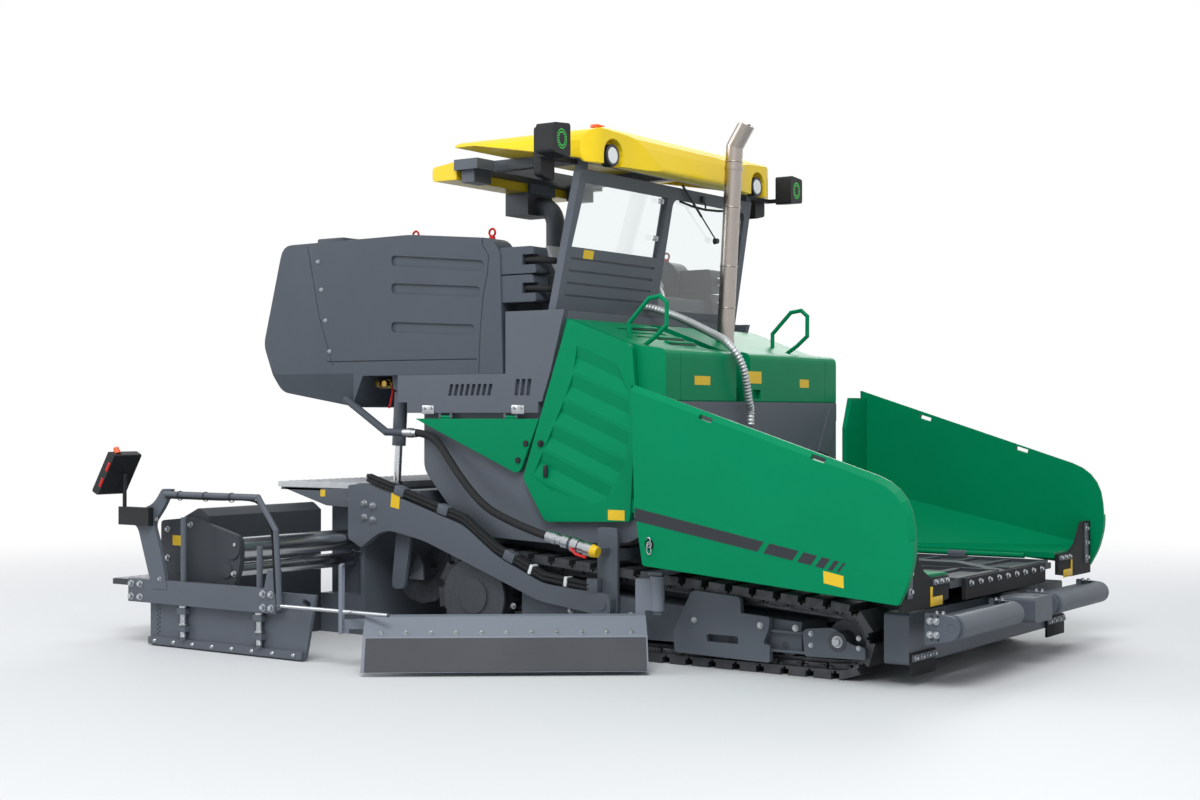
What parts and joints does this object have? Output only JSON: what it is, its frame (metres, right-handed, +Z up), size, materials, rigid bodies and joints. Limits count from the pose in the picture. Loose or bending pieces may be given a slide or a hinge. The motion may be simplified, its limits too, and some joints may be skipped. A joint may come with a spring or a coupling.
{
  "type": "tracked asphalt paver",
  "caption": "Tracked road paver with folding hopper wings, push rollers, roofed operator's stand, emulsion tank, swing-out spray bars, augers and an extending floating screed on tow arms.",
  "frame": {"origin": "on the ground under the middle of the machine's box", "axes": "+X forward to the hopper and push rollers, +Y to the machine's left, +Z up"},
  "size_m": [6.078, 5.6208, 3.7129],
  "materials": {
    "graphite_paint": "satin",
    "green_paint": "gloss",
    "green_hood": "gloss",
    "graphite_moulding": "satin",
    "yellow_moulding": "gloss",
    "black_plastic": "matte",
    "black_rubber": "matte",
    "track_steel": "matte",
    "cast_iron": "matte",
    "bare_steel": "satin",
    "clear_glass": "polished"
  },
  "bodies": {
    "tractor": {"chassis_frame": "graphite_paint", "engine_block": "cast_iron", "conveyors": "graphite_paint", "track_right": "track_steel", "track_left": "track_steel", "track_frame_right": "graphite_paint", "track_frame_left": "graphite_paint", "track_wheels": "cast_iron", "hopper_apron": "black_rubber", "bulkhead": "graphite_paint", "hood_right": "green_hood", "hood_left": "green_hood", "side_housing_right": "graphite_paint", "side_housing_left": "graphite_paint", "side_panels": "graphite_moulding", "platform": "graphite_paint", "tank_housing": "graphite_moulding", "seats": "black_plastic", "operator_desk": "graphite_moulding", "windscreen_frame": "graphite_paint", "windscreen_glass": "clear_glass", "roof": "yellow_moulding", "roof_frame": "graphite_paint", "roof_lamps": "black_plastic", "exhaust": "bare_steel", "side_brackets": "graphite_paint", "auger_frame": "graphite_paint", "hood_hose": "bare_steel", "feed_hose_right": "black_rubber", "feed_hose_left": "black_rubber"},
    "hopper_right": {"hopper_right": "green_paint", "hopper_flap_right": "black_rubber"},
    "hopper_left": {"hopper_left": "green_paint", "hopper_flap_left": "black_rubber"},
    "push_bar": {"push_bar": "graphite_paint"},
    "push_roller_right": {"push_roller_right": "graphite_paint"},
    "push_roller_left": {"push_roller_left": "graphite_paint"},
    "screed": {"tow_arm_right": "graphite_paint", "tow_arm_left": "graphite_paint", "screed_main": "graphite_paint", "screed_walkway": "bare_steel", "arm_hoses": "black_rubber"},
    "extension_right": {"extension_right": "graphite_paint", "end_gate_right": "graphite_paint", "screed_console_right": "black_plastic"},
    "extension_left": {"extension_left": "graphite_paint", "end_gate_left": "graphite_paint", "screed_console_left": "black_plastic"},
    "spray_bar_right": {"spray_bar_right": "graphite_paint"},
    "spray_bar_left": {"spray_bar_left": "graphite_paint"},
    "lift_barrel_right": {"lift_barrel_right": "graphite_paint"},
    "lift_barrel_left": {"lift_barrel_left": "graphite_paint"},
    "lift_rod_right": {"lift_rod_right": "bare_steel"},
    "lift_rod_left": {"lift_rod_left": "bare_steel"},
    "auger_right": {"auger_right": "bare_steel"},
    "auger_left": {"auger_left": "bare_steel"},
    "side_door_right": {"side_door_right": "green_paint"},
    "side_door_left": {"side_door_left": "green_paint"},
    "side_flap_right": {"side_flap_right": "green_paint"},
    "side_flap_left": {"side_flap_left": "green_paint"}
  },
  "joints": [
    {"name": "hopper_right_fold", "type": "hinge", "parent": "tractor", "child": "hopper_right", "pos_m": [1.87, -0.88, 0.625], "axis": [-1, 0, 0], "range_deg": [0, 45]},
    {"name": "hopper_left_fold", "type": "hinge", "parent": "tractor", "child": "hopper_left", "pos_m": [1.87, 0.88, 0.625], "axis": [1, 0, 0], "range_deg": [0, 45]},
    {"name": "push_bar_swing", "type": "hinge", "parent": "tractor", "child": "push_bar", "pos_m": [2.75, 0, 0.368], "axis": [0, 0, 1], "range_deg": [-4, 4]},
    {"name": "push_roller_right_spin", "type": "hinge", "parent": "push_bar", "child": "push_roller_right", "pos_m": [2.967, -0.8, 0.368], "axis": [0, 1, 0], "continuous": true},
    {"name": "push_roller_left_spin", "type": "hinge", "parent": "push_bar", "child": "push_roller_left", "pos_m": [2.967, 0.8, 0.368], "axis": [0, 1, 0], "continuous": true},
    {"name": "screed_lift", "type": "hinge", "parent": "tractor", "child": "screed", "pos_m": [0.55, 0, 0.352], "axis": [0, 1, 0], "range_deg": [0, 7]},
    {"name": "extension_right_slide", "type": "slide", "parent": "screed", "child": "extension_right", "axis": [0, 1, 0], "range_m": [0, 1.2]},
    {"name": "extension_left_slide", "type": "slide", "parent": "screed", "child": "extension_left", "axis": [0, -1, 0], "range_m": [0, 1.2]},
    {"name": "spray_bar_right_swing", "type": "hinge", "parent": "tractor", "child": "spray_bar_right", "pos_m": [1.02, -1.402, 0.4], "axis": [0, 0, -1], "range_deg": [0, 37]},
    {"name": "spray_bar_left_swing", "type": "hinge", "parent": "tractor", "child": "spray_bar_left", "pos_m": [1.02, 1.402, 0.4], "axis": [0, 0, 1], "range_deg": [0, 37]},
    {"name": "lift_barrel_right_tilt", "type": "hinge", "parent": "tractor", "child": "lift_barrel_right", "pos_m": [-1.391, -1.1, 1.826], "axis": [0, -1, 0], "range_deg": [-1, 10.8]},
    {"name": "lift_rod_right_slide", "type": "slide", "parent": "lift_barrel_right", "child": "lift_rod_right", "axis": [0.0625, 0, 0.998], "range_m": [-0.005, 0.2403]},
    {"name": "lift_barrel_left_tilt", "type": "hinge", "parent": "tractor", "child": "lift_barrel_left", "pos_m": [-1.391, 1.1, 1.826], "axis": [0, -1, 0], "range_deg": [-1, 10.8]},
    {"name": "lift_rod_left_slide", "type": "slide", "parent": "lift_barrel_left", "child": "lift_rod_left", "axis": [0.0625, 0, 0.998], "range_m": [-0.005, 0.2403]},
    {"name": "auger_right_spin", "type": "hinge", "parent": "tractor", "child": "auger_right", "pos_m": [-1.302, -0.6, 0.42], "axis": [0, 1, 0], "continuous": true},
    {"name": "auger_left_spin", "type": "hinge", "parent": "tractor", "child": "auger_left", "pos_m": [-1.302, 0.6, 0.42], "axis": [0, 1, 0], "continuous": true},
    {"name": "side_door_right_swing", "type": "hinge", "parent": "tractor", "child": "side_door_right", "pos_m": [0.742, -1.232, 1.5], "axis": [0, 0, 1], "range_deg": [0, 80]},
    {"name": "side_flap_right_lift", "type": "hinge", "parent": "tractor", "child": "side_flap_right", "pos_m": [-0.53, -1.238, 1.586], "axis": [-1, 0, 0], "range_deg": [0, 75]},
    {"name": "side_door_left_swing", "type": "hinge", "parent": "tractor", "child": "side_door_left", "pos_m": [0.742, 1.232, 1.5], "axis": [0, 0, -1], "range_deg": [0, 80]},
    {"name": "side_flap_left_lift", "type": "hinge", "parent": "tractor", "child": "side_flap_left", "pos_m": [-0.53, 1.238, 1.586], "axis": [1, 0, 0], "range_deg": [0, 75]}
  ],
  "couplings": [
    {"joint": "spray_bar_right_swing", "follows": "extension_right_slide", "rad_per_m": 0.53625},
    {"joint": "lift_barrel_right_tilt", "follows": "screed_lift", "ratio": 1.3985},
    {"joint": "lift_rod_right_slide", "follows": "screed_lift", "m_per_rad": 1.9261},
    {"joint": "spray_bar_left_swing", "follows": "extension_left_slide", "rad_per_m": 0.53625},
    {"joint": "lift_barrel_left_tilt", "follows": "screed_lift", "ratio": 1.3985},
    {"joint": "lift_rod_left_slide", "follows": "screed_lift", "m_per_rad": 1.9261}
  ]
}
